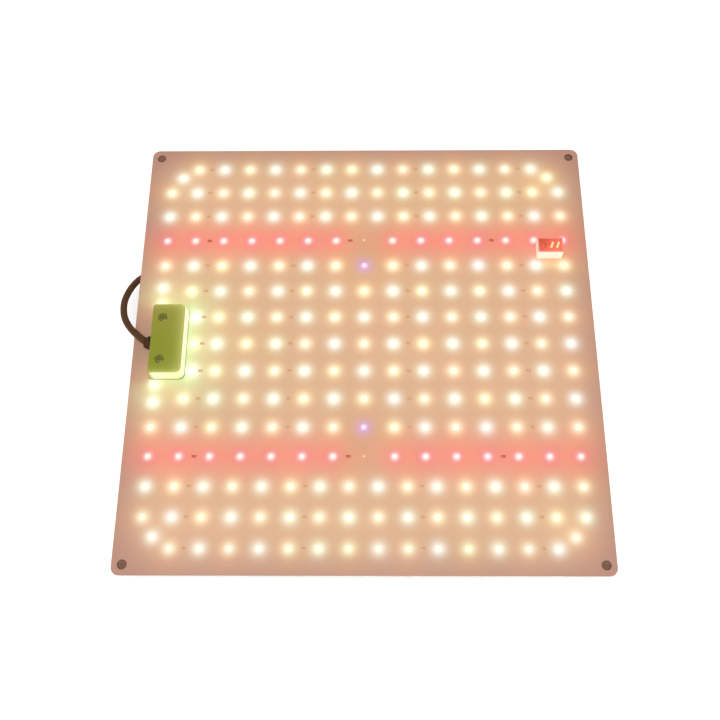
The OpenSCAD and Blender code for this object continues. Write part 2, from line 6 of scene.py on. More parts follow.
import bmesh
import bpy
import numpy as np
from mathutils import Matrix, Vector


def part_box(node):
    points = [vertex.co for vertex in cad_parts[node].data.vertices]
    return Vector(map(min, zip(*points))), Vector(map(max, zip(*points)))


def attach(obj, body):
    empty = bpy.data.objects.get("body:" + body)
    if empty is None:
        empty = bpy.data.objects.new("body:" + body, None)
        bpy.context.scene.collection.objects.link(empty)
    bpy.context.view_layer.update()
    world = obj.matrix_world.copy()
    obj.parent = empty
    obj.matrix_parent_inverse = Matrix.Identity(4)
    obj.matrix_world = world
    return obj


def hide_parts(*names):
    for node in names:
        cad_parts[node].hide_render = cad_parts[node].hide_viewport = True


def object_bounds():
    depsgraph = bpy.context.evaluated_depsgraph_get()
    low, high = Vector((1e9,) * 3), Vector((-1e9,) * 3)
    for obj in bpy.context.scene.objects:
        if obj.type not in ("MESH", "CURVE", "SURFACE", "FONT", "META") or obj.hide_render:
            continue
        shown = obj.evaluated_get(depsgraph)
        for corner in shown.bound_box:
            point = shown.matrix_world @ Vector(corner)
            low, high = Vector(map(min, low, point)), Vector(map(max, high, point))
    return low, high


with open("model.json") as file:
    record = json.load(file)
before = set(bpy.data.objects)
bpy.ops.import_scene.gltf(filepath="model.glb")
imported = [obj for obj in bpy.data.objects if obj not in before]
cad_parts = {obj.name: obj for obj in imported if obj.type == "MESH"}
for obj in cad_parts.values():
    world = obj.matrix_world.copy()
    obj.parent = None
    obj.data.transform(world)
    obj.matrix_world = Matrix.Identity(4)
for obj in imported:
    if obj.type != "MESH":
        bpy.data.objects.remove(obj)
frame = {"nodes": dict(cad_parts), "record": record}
CAD_BOX = [list(corner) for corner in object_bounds()]
NODES = frame["nodes"]
MM = 0.001
SEED = 7
WELD_DISTANCE = 1e-7
# Points of one node that lie this close to each other in plan belong to one small solid
SOLID_REACH = 5 * MM
SCREW_REACH = 9 * MM


# ---------------- places read from the frame

def low(node):
    return np.array(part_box(node)[0])


def high(node):
    return np.array(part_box(node)[1])


def middle(node):
    return (low(node) + high(node)) / 2


def centres(node, reach=SOLID_REACH):
    """Centres, in plan, of the small separate solids that one node holds."""
    points = np.array([v.co[:2] for v in NODES[node].data.vertices])
    found = []
    while len(points):
        near = np.abs(points - points[0]).max(axis=1) < reach
        found.append((points[near].min(axis=0) + points[near].max(axis=0)) / 2)
        points = points[~near]
    return np.array(sorted(map(tuple, found)))


PANEL_LOW, PANEL_HIGH = low("base_plate"), high("base_plate")
PANEL_SIDE = PANEL_HIGH[0] - PANEL_LOW[0]
PLATE_TOP = PANEL_HIGH[2]
BOARD_TOP = high("circuit_layer")[2]
CORNER_R = 5 * MM
HOLES = frame["record"]["mounts"][0]["dims"]
HOLE_R = HOLES["hole_r_mm"] * MM
HOLE_X = HOLES["spacing_x_mm"] * MM / 2
HOLE_Y = HOLES["spacing_y_mm"] * MM / 2
HOLE_PLACES = [(x, y, 0) for x in (-HOLE_X, HOLE_X) for y in (-HOLE_Y, HOLE_Y)]

LEDS = {kind: centres(kind + "_packages") for kind in ("cool", "warm", "red", "uv", "infrared")}
PACKAGE_W = 3 * MM
PACKAGE_TOP = high("cool_packages")[2]


# ---------------- light that the LEDs throw

# Glow on the board round one LED of each kind: width of each part in mm, and its linear colour
GLOW = {
    "warm": ((1.7, (0.25, 0.15, 0.265)), (3.2, (0.317, 0.540, 0.352)), (5.0, (0.058, 0.0, 0.0)),
             (11, (0.168, 0.108, 0.018))),
    "cool": ((1.7, (0.25, 0.20, 0.02)), (3.25, (0.302, 0.525, 0.62)), (5.0, (0.058, 0.083, 0.0)),
             (11, (0.056, 0.066, 0.054))),
    "red": ((1.42, (0.5, 0.90, 0.68)), (2.4, (0.0, 0.0, 0.17)), (4.5, (0.0, -0.045, -0.012)),
            (10, (0.282, 0.0, 0.0))),
    "uv": ((1.1, (0.5, 0.55, 0.9)), (3.8, (0.02, 0.0, 0.36)), (11, (0.06, 0.05, 0.02))),
    "infrared": ((0.9, (0.22, 0.09, 0.06)), (3.0, (0.03, 0.0, 0.0)), (11, (0.10, 0.06, 0.01))),
}
# Colour of the light that reaches walls standing on the board, and its strength
BEAM = {
    "warm": (1.0, 0.80, 0.48),
    "cool": (1.0, 0.92, 0.72),
    "red": (0.75, 0.06, 0.05),
    "uv": (0.20, 0.06, 0.55),
    "infrared": (0.0, 0.0, 0.0),
}
BEAM_STRENGTH = 2.4e-4
BEAM_SOFTENING = 2.5 * MM
SIDEWAYS = 0.22
TINT_SPREAD = 0.08
GLOW_CUT = 4.5  # widths from an LED past which its glow is too faint to count
# How the board's brightness changes from front to back, over the rows of LEDs
LED_REACH = 130 * MM
MIDDLE_LEVEL, BACKWARD_RISE, EDGE_FALL = 1.06, 0.07, 0.09
# What the green cover and the header's front wall throw on the board, and how far it reaches
COVER_GLOW = (0.06, 0.49, 0.17)
COVER_GLOW_REACH = 11 * MM
HEADER_GLOW = (0.12, 0.16, 0.06)
HEADER_GLOW_HALF_WIDTH = 8 * MM
HEADER_GLOW_REACH = 4 * MM


def led_tints():
    """Small differences of colour from one LED to the next, as from their bins."""
    rng = np.random.RandomState(SEED)
    return {kind: 1 + rng.uniform(-TINT_SPREAD, TINT_SPREAD, (len(places), 3))
            for kind, places in LEDS.items()}


TINTS = led_tints()
COVER_LOW, COVER_HIGH = low("terminal_cover"), high("terminal_cover")


def cover_glow(points):
    """Green-yellow light that the lit cover throws on the board on its inner side and past its ends."""
    half = (COVER_HIGH[1] - COVER_LOW[1]) / 2
    inward = np.maximum(0, points[:, 0] - COVER_HIGH[0])
    outward = np.maximum(0, COVER_LOW[0] - points[:, 0])
    beyond = np.maximum(0, np.abs(points[:, 1] - middle("terminal_cover")[1]) - half)
    fade = np.exp(-np.sqrt(inward ** 2 + beyond ** 2 + 1.5 * outward ** 2) / COVER_GLOW_REACH)
    # All of it on the inner side, less past the ends, and little straight outward
    share = np.where(points[:, 0] > COVER_HIGH[0], 1.0, 0.85)
    share = np.where(outward > 0, 0.1 + 0.75 * np.clip(beyond / (10 * MM), 0, 1), share)
    return (fade * share)[:, None] * COVER_GLOW


def header_glow(points):
    """Pale light that the header's front wall throws on the board before it."""
    aside = points[:, 0] - middle("header_shell")[0]
    before = low("header_shell")[1] - points[:, 1]
    fall = np.exp(-(aside / HEADER_GLOW_HALF_WIDTH) ** 2
                  - (before - HEADER_GLOW_REACH) ** 2 / HEADER_GLOW_REACH ** 2)
    return (fall * (before > 0))[:, None] * HEADER_GLOW


def board_glow(points):
    """Light on the board's face at these plan positions, as linear RGB."""
    total = np.zeros((len(points), 3))
    for kind, places in LEDS.items():
        for place, tint in zip(places, TINTS[kind]):
            d2 = ((points[:, :2] - place) ** 2).sum(axis=1)
            for width, colour in GLOW[kind]:
                sigma = width * MM
                near = d2 < (GLOW_CUT * sigma) ** 2
                fall = np.exp(-d2[near] / (2 * sigma * sigma))
                total[near] += fall[:, None] * colour * tint
    along = points[:, 1] / LED_REACH
    evenness = MIDDLE_LEVEL + BACKWARD_RISE * along - EDGE_FALL * along ** 2
    return total * evenness[:, None] + cover_glow(points) + header_glow(points)


def beam_light(points, normals):
    """Light from all the LEDs on raised surfaces, as linear RGB, with no shadows."""
    total = np.zeros((len(points), 3))
    for kind, places in LEDS.items():
        for place, tint in zip(places, TINTS[kind]):
            to_led = np.array((place[0], place[1], PACKAGE_TOP)) - points
            distance = np.sqrt((to_led ** 2).sum(axis=1)) + 1e-9
            facing = np.clip((to_led * normals).sum(axis=1) / distance, 0, 1)
            leaving = np.clip(-to_led[:, 2] / distance, 0, 1) + SIDEWAYS
            strength = BEAM_STRENGTH * facing * leaving / (distance ** 2 + BEAM_SOFTENING ** 2)
            total += strength[:, None] * BEAM[kind] * tint
    return total


def write_colours(obj, colours):
    """Keeps the light on each vertex in the colour attribute that the materials show as emission."""
    layer = obj.data.color_attributes.new("lit", "FLOAT_COLOR", "POINT")
    rgba = np.ones((len(colours), 4), np.float32)
    rgba[:, :3] = colours
    layer.data.foreach_set("color", rgba.ravel())


def vertex_values(obj, name="co"):
    """The position of each vertex, or its normal."""
    flat = np.empty(len(obj.data.vertices) * 3, np.float32)
    obj.data.vertices.foreach_get(name, flat)
    return flat.reshape(-1, 3).astype(float)


# ---------------- mesh tools

def in_scene(name, data):
    obj = bpy.data.objects.new(name, data)
    bpy.context.scene.collection.objects.link(obj)
    return obj


def from_bmesh(name, bm):
    mesh = bpy.data.meshes.new(name)
    bm.to_mesh(mesh)
    bm.free()
    return in_scene(name, mesh)


def from_lists(name, verts, faces):
    mesh = bpy.data.meshes.new(name)
    mesh.from_pydata([tuple(v) for v in verts], [], faces)
    mesh.update()
    return in_scene(name, mesh)


def edit(obj, change):
    """Runs change(bm) on the object's mesh."""
    bm = bmesh.new()
    bm.from_mesh(obj.data)
    change(bm)
    bm.to_mesh(obj.data)
    bm.free()


def fix_normals(bm):
    bmesh.ops.recalc_face_normals(bm, faces=bm.faces)


def weld(bm):
    bmesh.ops.remove_doubles(bm, verts=bm.verts, dist=WELD_DISTANCE)
    fix_normals(bm)


def smooth(obj, angle):
    obj.data.shade_smooth()
    obj.data.set_sharp_from_angle(angle=math.radians(angle))


def combine(obj, other, operation):
    """Boolean of two closed meshes. The second is used up."""
    modifier = obj.modifiers.new("boolean", "BOOLEAN")
    modifier.operation = operation
    modifier.solver = "MANIFOLD"
    modifier.object = other
    graph = bpy.context.evaluated_depsgraph_get()
    result = bpy.data.meshes.new_from_object(obj.evaluated_get(graph))
    obj.modifiers.clear()
    before = obj.data
    obj.data = result
    bpy.data.meshes.remove(before)
    bpy.data.objects.remove(other)
    return obj


def bevel(obj, width, angle=35):
    modifier = obj.modifiers.new("bevel", "BEVEL")
    modifier.width = width
    modifier.segments = 2
    modifier.limit_method = "ANGLE"
    modifier.angle_limit = math.radians(angle)
    modifier.harden_normals = True


def lofted(name, loops, smooth_angle=35, capped=True):
    """A skin over closed loops of equal length."""
    n = len(loops[0])
    verts = [p for loop in loops for p in loop]
    faces = [(a * n + k, a * n + (k + 1) % n, (a + 1) * n + (k + 1) % n, (a + 1) * n + k)
             for a in range(len(loops) - 1) for k in range(n)]
    if capped:
        faces.append(tuple(range(n - 1, -1, -1)))
        faces.append(tuple(range((len(loops) - 1) * n, len(loops) * n)))
    obj = from_lists(name, verts, faces)
    edit(obj, fix_normals)
    smooth(obj, smooth_angle)
    return obj


def ring(radius, z, sides):
    angles = [2 * math.pi * k / sides for k in range(sides)]
    return [(radius * math.cos(a), radius * math.sin(a), z) for a in angles]


def lathe(name, profile, sides):
    """Closed solid of revolution about Z. The profile of (radius, z) either starts and ends at
    radius 0 or is a closed loop clear of the axis."""
    solid = profile[0][0] == 0
    loops = [ring(r, z, sides) for r, z in profile if r > 0]
    if not solid:
        loops.append(loops[0])
    obj = lofted(name, loops, capped=solid)
    if not solid:
        edit(obj, weld)
        smooth(obj, 35)
    return obj


def cylinder(name, radius, z0, z1, sides):
    return lathe(name, [(0, z0), (radius, z0), (radius, z1), (0, z1)], sides)


def refine(obj, longest, rounds):
    """Splits the large faces so that the light on them can change along their length."""
    def split(bm):
        bmesh.ops.triangulate(bm, faces=bm.faces[:])
        for _ in range(rounds):
            long_edges = [e for e in bm.edges if e.calc_length() > longest]
            if not long_edges:
                break
            bmesh.ops.subdivide_edges(bm, edges=long_edges, cuts=1)
            bmesh.ops.triangulate(bm, faces=[f for f in bm.faces if len(f.verts) > 3])

    edit(obj, split)


def copies(name, template, places):
    """One mesh holding a copy of the template's mesh at each place. The template is used up."""
    verts, faces, slots = [], [], []
    base = vertex_values(template)
    polygons = [tuple(p.vertices) for p in template.data.polygons]
    indices = [p.material_index for p in template.data.polygons]
    for number, place in enumerate(places):
        verts.extend(base + np.array(place))
        offset = number * len(base)
        faces.extend(tuple(v + offset for v in face) for face in polygons)
        slots.extend(indices)
    materials = list(template.data.materials)
    bpy.data.objects.remove(template)
    obj = from_lists(name, verts, faces)
    obj.data.polygons.foreach_set("material_index", slots)
    for m in materials:
        obj.data.materials.append(m)
    smooth(obj, 35)
    return obj


def joined(name, objects):
    """Joins meshes into the first one, keeping their materials."""
    bpy.ops.object.select_all(action="DESELECT")
    for obj in objects:
        obj.select_set(True)
    bpy.context.view_layer.objects.active = objects[0]
    bpy.ops.object.join()
    objects[0].name = name
    objects[0].select_set(False)
    return objects[0]


def placed(obj, matrix):
    obj.data.transform(matrix)
    obj.data.update()
    return obj


def moved(obj, x, y, z):
    return placed(obj, Matrix.Translation((x, y, z)))


def dress(obj, *materials):
    obj.data.materials.clear()
    for name in materials:
        obj.data.materials.append(MATERIALS[name])


def add_piece(obj, node, material=None):
    """The piece rides on the one body and stands for its CAD node. It may be dressed already."""
    if material:
        dress(obj, material)
    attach(obj, "root")
    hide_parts(node)


def rounded_outline(x0, x1, y0, y1, radii, steps=8):
    """Outline with round corners, anticlockwise from the x1, y0 corner; one radius per corner."""
    corners = [(x1, y0, -90), (x1, y1, 0), (x0, y1, 90), (x0, y0, 180)]
    points = []
    for (x, y, start), r in zip(corners, radii):
        cx = x - math.copysign(r, x - (x0 + x1) / 2)
        cy = y - math.copysign(r, y - (y0 + y1) / 2)
        for k in range(steps + 1):
            a = math.radians(start + 90 * k / steps)
            points.append((cx + r * math.cos(a), cy + r * math.sin(a)))
    return points


def prism(name, outline, z0, z1):
    return lofted(name, [[(x, y, z) for x, y in outline] for z in (z0, z1)])


def box_mesh(name, size, centre, edge=0.0, segments=2):
    """A box, with its edges bevelled where an edge width is given."""
    bm = bmesh.new()
    bmesh.ops.create_cube(bm, size=1.0)
    bmesh.ops.scale(bm, vec=size, verts=bm.verts)
    bmesh.ops.translate(bm, vec=centre, verts=bm.verts)
    if edge:
        bmesh.ops.bevel(bm, geom=bm.edges[:], offset=edge, segments=segments, affect="EDGES", profile=0.5)
    obj = from_bmesh(name, bm)
    smooth(obj, 30)
    return obj


# ---------------- material tools

MATERIALS = {}


class Shader:
    """A node material, kept in MATERIALS by its name, and short calls for the nodes that feed it."""

    def __init__(self, name, base, roughness, metallic=0.0, **values):
        material = bpy.data.materials.new(name)
        MATERIALS[name] = material
        material.use_nodes = True
        self.base = base
        self.tree = material.node_tree
        self.bsdf = self.tree.nodes["Principled BSDF"]
        self.fill(self.bsdf, Base_Color=base, Roughness=roughness, Metallic=metallic, **values)
        self.position = self.node("ShaderNodeTexCoord").outputs["Object"]

    def node(self, kind, **settings):
        made = self.tree.nodes.new(kind)
        for key, value in settings.items():
            setattr(made, key, value)
        return made

    def feed(self, socket, value):
        """Sets a socket to a number or a colour, or links a node's output to it."""
        if isinstance(value, tuple):
            socket.default_value = (*value, 1)
        elif isinstance(value, (int, float)):
            socket.default_value = value
        else:
            self.tree.links.new(value, socket)

    def fill(self, node, **values):
        for name, value in values.items():
            self.feed(node.inputs[name.replace("_", " ")], value)
        return node

    def stretched(self, scale):
        mapping = self.fill(self.node("ShaderNodeMapping"), Vector=self.position)
        mapping.inputs["Scale"].default_value = scale
        return mapping.outputs["Vector"]

    def noise(self, scale, detail, rough=0.5, vector=None):
        made = self.fill(self.node("ShaderNodeTexNoise"), Scale=scale, Detail=detail, Roughness=rough,
                         Vector=self.position if vector is None else vector)
        return made.outputs["Fac"]

    def span(self, value, out_low, out_high, in_low=0.25, in_high=0.75):
        made = self.fill(self.node("ShaderNodeMapRange"), Value=value, From_Min=in_low,
                         From_Max=in_high, To_Min=out_low, To_Max=out_high)
        return made.outputs["Result"]

    def mix(self, factor, first, second, blend="MIX"):
        made = self.node("ShaderNodeMix", data_type="RGBA", blend_type=blend)
        self.feed(made.inputs["Factor"], factor)
        self.feed(made.inputs[6], first)
        self.feed(made.inputs[7], second)
        return made.outputs[2]

    def math(self, operation, first, second):
        made = self.node("ShaderNodeMath", operation=operation)
        self.feed(made.inputs[0], first)
        self.feed(made.inputs[1], second)
        return made.outputs[0]

    def vary_colour(self, factor, first, second):
        self.fill(self.bsdf, Base_Color=self.mix(factor, first, second))

    def drift(self, scale, detail, darkest, lightest, rough=0.5):
        """The base colour, darker and lighter in soft patches."""
        patches = self.noise(scale, detail, rough)
        self.vary_colour(patches, shaded(self.base, darkest), shaded(self.base, lightest))

    def vary_roughness(self, factor, first, second):
        self.fill(self.bsdf, Roughness=self.span(factor, first, second))

    def bump(self, height, depth, strength):
        made = self.fill(self.node("ShaderNodeBump"), Strength=strength, Distance=depth, Height=height)
        self.fill(self.bsdf, Normal=made.outputs["Normal"])

    def baked_light(self):
        return self.node("ShaderNodeAttribute", attribute_name="lit").outputs["Color"]

    def glow(self, colour, strength=1.0):
        self.fill(self.bsdf, Emission_Color=colour, Emission_Strength=strength)


def shaded(base, factor):
    return tuple(min(1.0, c * factor) for c in base)


def moulded(name, base, roughness, grain=9000, lit=False, **sockets):
    """Moulded plastic: soft colour drift, fine texture, and smudges in the gloss."""
    s = Shader(name, base, roughness, **sockets)
    s.drift(160, 4, 0.88, 1.08)
    s.vary_roughness(s.noise(420, 3), roughness - 0.08, roughness + 0.1)
    s.bump(s.noise(grain, 2), 0.01 * MM, 0.5)
    if lit:
        s.glow(s.baked_light())


def metal(name, base, roughness, line, lines=900, tarnish=0.8):
    """Metal with drawn or machined lines along one axis, and light tarnish."""
    s = Shader(name, base, roughness, 1.0)
    grain = s.noise(lines, 4, 0.6, s.stretched(line))
    s.drift(220, 5, tarnish, 1.06, 0.6)
    s.vary_roughness(grain, roughness - 0.08, roughness + 0.16)
    s.bump(grain, 0.004 * MM, 0.6)


# ---------------- materials

def solder_mask():
    """Circuit face: warm white solder mask over copper, lit by its own LEDs. Its tan base colour carries
    their light, painted in, and the glow is painted emission that varies in soft patches.
    """
    s = Shader("solder_mask", (0.396, 0.205, 0.150), 0.5, Specular_IOR_Level=0.35)
    s.drift(28, 4, 0.93, 1.06, 0.6)
    s.vary_roughness(s.noise(500, 3), 0.42, 0.58)
    tracks = s.node("ShaderNodeTexBrick", offset=0.5)
    s.fill(tracks, Scale=52.2, Mortar_Size=0.012, Mortar_Smooth=0.3, Vector=s.position)
    grooves = s.math("MULTIPLY", tracks.outputs["Fac"], -0.5)
    s.bump(s.math("ADD", grooves, s.math("MULTIPLY", s.noise(6000, 2), 0.25)), 0.03 * MM, 0.5)
    glow_patches = s.mix(s.noise(90, 3, 0.6), (0.93, 0.95, 0.92), (1.05, 1.04, 1.07))
    s.glow(s.mix(1.0, s.baked_light(), glow_patches, "MULTIPLY"))


def metals():
    metal("rolled_aluminium", (0.72, 0.72, 0.73), 0.36, (1, 40, 40), 500)
    metal("anodised_extrusion", (0.56, 0.57, 0.59), 0.4, (1, 70, 70), 700, tarnish=0.9)
    metal("zinc_plated_steel", (0.70, 0.70, 0.68), 0.28, (20, 20, 1))
    metal("tinned_contact", (0.80, 0.72, 0.50), 0.25, (1, 1, 60))
    metal("enamelled_copper", (0.72, 0.32, 0.14), 0.3, (1, 60, 60))


def screw_in_green_light():
    """Dark screws at the bottom of the cover's lit wells. Their olive tint and faint glow are painted green
    light from the wells' walls.
    """
    s = Shader("screw_in_green_light", (0.17, 0.155, 0.03), 0.5, 0.3)
    s.vary_colour(s.noise(700, 4), (0.14, 0.125, 0.022), (0.20, 0.185, 0.04))
    s.vary_roughness(s.noise(1600, 3), 0.4, 0.6)
    s.bump(s.noise(5000, 2), 0.01 * MM, 0.5)
    s.glow((0.9, 0.9, 0.1), 0.03)


def led_materials():
    """Packages take the same glow as the board round them; phosphors and lenses shine."""
    # Each body's base colour carries the tint of its own LEDs' light, painted in.
    for kind, body in (
            ("cool", (0.50, 0.46, 0.40)),
            ("warm", (0.50, 0.44, 0.32)),
            ("red", (0.40, 0.30, 0.27)),
            ("uv", (0.42, 0.30, 0.42)),
            ("infrared", (0.34, 0.22, 0.16))):
        s = Shader(kind + "_package", body, 0.5)
        s.drift(900, 3, 0.9, 1.06)
        s.vary_roughness(s.noise(1400, 3), 0.4, 0.6)
        s.glow(s.baked_light(), 0.85)
    for kind, fire in (("cool", (0.70, 0.60, 0.66)), ("warm", (0.70, 0.58, 0.50))):
        s = Shader(kind + "_phosphor", (0.60, 0.50, 0.22), 0.35)
        s.drift(2500, 3, 0.9, 1.06)
        s.glow(s.mix(s.span(s.noise(2600, 2), 0, 1), shaded(fire, 0.95), fire))
        s.bump(s.noise(5000, 2), 0.01 * MM, 0.4)
    for kind, lens, fire in (
            ("red", (0.50, 0.24, 0.22), (0.85, 0.70, 0.62)),
            ("uv", (0.40, 0.22, 0.50), (0.75, 0.58, 0.80)),
            ("infrared", (0.50, 0.34, 0.24), (0.40, 0.20, 0.08))):
        s = Shader(kind + "_lens", lens, 0.12, Coat_Weight=0.5)
        s.drift(2000, 2, 0.9, 1.0)
        s.glow(s.mix(s.span(s.noise(1800, 2), 0, 1), shaded(fire, 0.95), fire))


def resistor_materials():
    # Bodies and ends show the LEDs' haze as painted emission, and their brown base colours carry that light
    # too.
    s = Shader("resistor_body", (0.10, 0.040, 0.028), 0.45)
    s.vary_colour(s.noise(2500, 3), (0.08, 0.032, 0.022), (0.13, 0.052, 0.036))
    s.bump(s.noise(7000, 2), 0.01 * MM, 0.5)
    s.glow(s.baked_light())
    s = Shader("resistor_end", (0.22, 0.12, 0.09), 0.4, 0.2)
    s.vary_colour(s.noise(1500, 3), (0.18, 0.10, 0.07), (0.26, 0.15, 0.11))
    s.vary_roughness(s.noise(2500, 2), 0.28, 0.45)
    s.glow(s.baked_light())


def translucent_green():
    """Terminal cover: olive green plastic, paler to the back with painted light, that the LEDs beside it
    light up.
    """
    s = Shader("translucent_green", (0.20, 0.215, 0.03), 0.4, Specular_IOR_Level=0.35)
    # Painted light: paler towards the back, with soft patches of colour drift on top.
    along = s.fill(s.node("ShaderNodeSeparateXYZ"), Vector=s.position)
    towards_back = s.span(along.outputs["Y"], -0.1, 0.75, -0.025, 0.025)
    drift = s.math("ADD", towards_back, s.span(s.noise(38, 3), -0.2, 0.35))
    s.vary_colour(drift, (0.185, 0.215, 0.007), (0.262, 0.232, 0.036))
    s.vary_roughness(s.noise(600, 3), 0.28, 0.42)
    s.bump(s.noise(5200, 2), 0.012 * MM, 0.5)
    s.glow(s.baked_light())


def header_materials():
    # White nylon, and the same nylon with the red LEDs' light painted into its base colour on the rim and
    # in the well.
    moulded("nylon_header", (0.52, 0.50, 0.44), 0.4, lit=True)
    moulded("nylon_in_red_light", (0.36, 0.17, 0.13), 0.45, lit=True)
    moulded("nylon_well_in_red_light", (0.34, 0.06, 0.04), 0.5, lit=True)
    s = Shader("lit_pin", (0.55, 0.42, 0.22), 0.35, 0.6)
    s.vary_colour(s.noise(900, 3), (0.48, 0.36, 0.18), (0.60, 0.46, 0.26))
    s.vary_roughness(s.noise(1600, 3), 0.28, 0.45)
    s.glow(s.baked_light())


def lead_materials():
    # The jacket's and the bush's browns are toned to the lead as the LEDs light it: painted light in their
    # base colours.
    s = Shader("cable_jacket", (0.075, 0.030, 0.010), 0.6, Specular_IOR_Level=0.12)
    s.vary_colour(s.noise(240, 4), (0.066, 0.025, 0.008), (0.088, 0.036, 0.013))
    s.vary_roughness(s.noise(900, 3), 0.5, 0.68)
    s.bump(s.noise(3200, 3), 0.02 * MM, 0.5)
    moulded("bush_rubber", (0.055, 0.022, 0.008), 0.65, 4000, Specular_IOR_Level=0.12)


def driver_materials():
    """Powder coat, and the plastics of the parts behind the panel and in the driver."""
    s = Shader("powder_coat", (0.045, 0.046, 0.05), 0.45)
    s.drift(2600, 2, 0.85, 1.2)
    s.vary_roughness(s.noise(800, 3), 0.38, 0.55)
    s.bump(s.noise(2400, 2), 0.05 * MM, 0.6)
    for name, base, roughness, grain in (
            ("gasket_rubber", (0.035, 0.034, 0.033), 0.7, 4000),
            ("gland_nylon", (0.03, 0.03, 0.033), 0.42, 6500),
            ("spacer_nylon", (0.78, 0.77, 0.73), 0.42, 6500),
            ("terminal_green", (0.10, 0.30, 0.11), 0.4, 9000),
            ("red_insulation", (0.55, 0.03, 0.02), 0.35, 9000),
            ("black_insulation", (0.02, 0.02, 0.02), 0.35, 9000),
            ("green_circuit_board", (0.03, 0.17, 0.06), 0.3, 2500),
            ("ferrite", (0.07, 0.07, 0.075), 0.6, 3000),
            ("winding_tape", (0.75, 0.52, 0.08), 0.28, 2500),
            ("capacitor_sleeve", (0.03, 0.045, 0.16), 0.3, 2500),
            ("film_capacitor", (0.72, 0.42, 0.05), 0.35, 2500),
            ("thermal_pad", (0.5, 0.52, 0.5), 0.8, 3500)):
        moulded(name, base, roughness, grain)


# ---------------- panel

GRID_STEP = 1.2 * MM
CUP_R = 1.2 * MM
CUP_SIDES = 32
CUP_DEPTH = 0.16 * MM
LENS_R = 1.08 * MM
RESISTOR_SIZE = (3.2 * MM, 1.6 * MM, 0.6 * MM)
RESISTOR_END = 0.45 * MM
# Haze of light over the dark resistors, beside the red LEDs and beside the white ones
RED_HAZE, WHITE_HAZE = (0.28, 0.04, 0.02), (0.44, 0.24, 0.12)


def build_circuit_face():
    """The printed face as a fine grid, cut to the panel's outline, with its glow in the grid."""
    outline = rounded_outline(PANEL_LOW[0], PANEL_HIGH[0], PANEL_LOW[1], PANEL_HIGH[1], [CORNER_R] * 4)
    reach = PANEL_SIDE / 2 + GRID_STEP
    count = int(round(2 * reach / GRID_STEP))
    bm = bmesh.new()
    bmesh.ops.create_grid(bm, x_segments=count, y_segments=count, size=reach)
    for v in bm.verts:
        v.co.z = BOARD_TOP
    edges = [e for e in bm.edges if e.is_boundary]
    skirt = bmesh.ops.extrude_edge_only(bm, edges=edges)["geom"]
    for v in skirt:
        if isinstance(v, bmesh.types.BMVert):
            v.co.z = PLATE_TOP
    bmesh.ops.contextual_create(bm, geom=[e for e in bm.edges if e.is_boundary])
    fix_normals(bm)
    obj = from_bmesh("circuit_face", bm)
    combine(obj, prism("outline", outline, -5 * MM, 8 * MM), "INTERSECT")
    for place in HOLE_PLACES:
        drill = cylinder("drill", HOLE_R, -5 * MM, 8 * MM, 32)
        combine(obj, moved(drill, *place), "DIFFERENCE")
    smooth(obj, 30)
    write_colours(obj, board_glow(vertex_values(obj)))
    add_piece(obj, "circuit_layer", "solder_mask")


def square_loop(half, z):
    """Points on a square at the same angles as the points of the round cup."""
    loop = []
    for k in range(CUP_SIDES):
        a = 2 * math.pi * k / CUP_SIDES
        scale = half / max(abs(math.cos(a)), abs(math.sin(a)))
        loop.append((scale * math.cos(a), scale * math.sin(a), z))
    return loop


def led_template():
    """A white package: chamfered square body with a round reflector cup."""
    half, chamfer = PACKAGE_W / 2, 0.12 * MM
    height = PACKAGE_TOP - BOARD_TOP
    loops = [square_loop(half, 0), square_loop(half, height - chamfer), square_loop(half - chamfer, height),
             ring(CUP_R, height, CUP_SIDES), ring(CUP_R - 0.1 * MM, height - CUP_DEPTH, CUP_SIDES)]
    return lofted("package", loops)


def phosphor_template():
    """The domed phosphor that fills the cup."""
    floor = PACKAGE_TOP - BOARD_TOP - 0.15 * MM
    rise = [(1.09, -0.02), (1.09, 0.0), (1.05, 0.05), (0.8, 0.1), (0.45, 0.13)]
    return lofted("phosphor", [ring(r * MM, floor + z * MM, CUP_SIDES) for r, z in rise])


def lens_template():
    """A clear dome on a short collar."""
    collar = 0.12 * MM
    steps = 7
    loops = [ring(LENS_R, 0, 24), ring(LENS_R, collar, 24)]
    for k in range(1, steps):
        a = math.pi / 2 * k / steps
        loops.append(ring(LENS_R * math.cos(a), collar + LENS_R * 0.85 * math.sin(a), 24))
    return lofted("lens", loops, 50)


def at_height(places, z):
    return [(x, y, z) for x, y in places]


def build_leds():
    for kind, places in LEDS.items():
        bodies = copies(kind + "_led_bodies", led_template(), at_height(places, BOARD_TOP))
        write_colours(bodies, board_glow(vertex_values(bodies)))
        add_piece(bodies, kind + "_packages", kind + "_package")
    for kind in ("cool", "warm"):
        lights = copies(kind + "_led_windows", phosphor_template(), at_height(LEDS[kind], BOARD_TOP))
        add_piece(lights, kind + "_phosphors", kind + "_phosphor")
    for kind, slot in (("red", "red_lens"), ("uv", "violet_lens"), ("infrared", "clear_lens")):
        domes = copies(kind + "_led_domes", lens_template(), at_height(LEDS[kind], PACKAGE_TOP - CUP_DEPTH))
        add_piece(domes, kind + "_lenses", kind + "_lens")


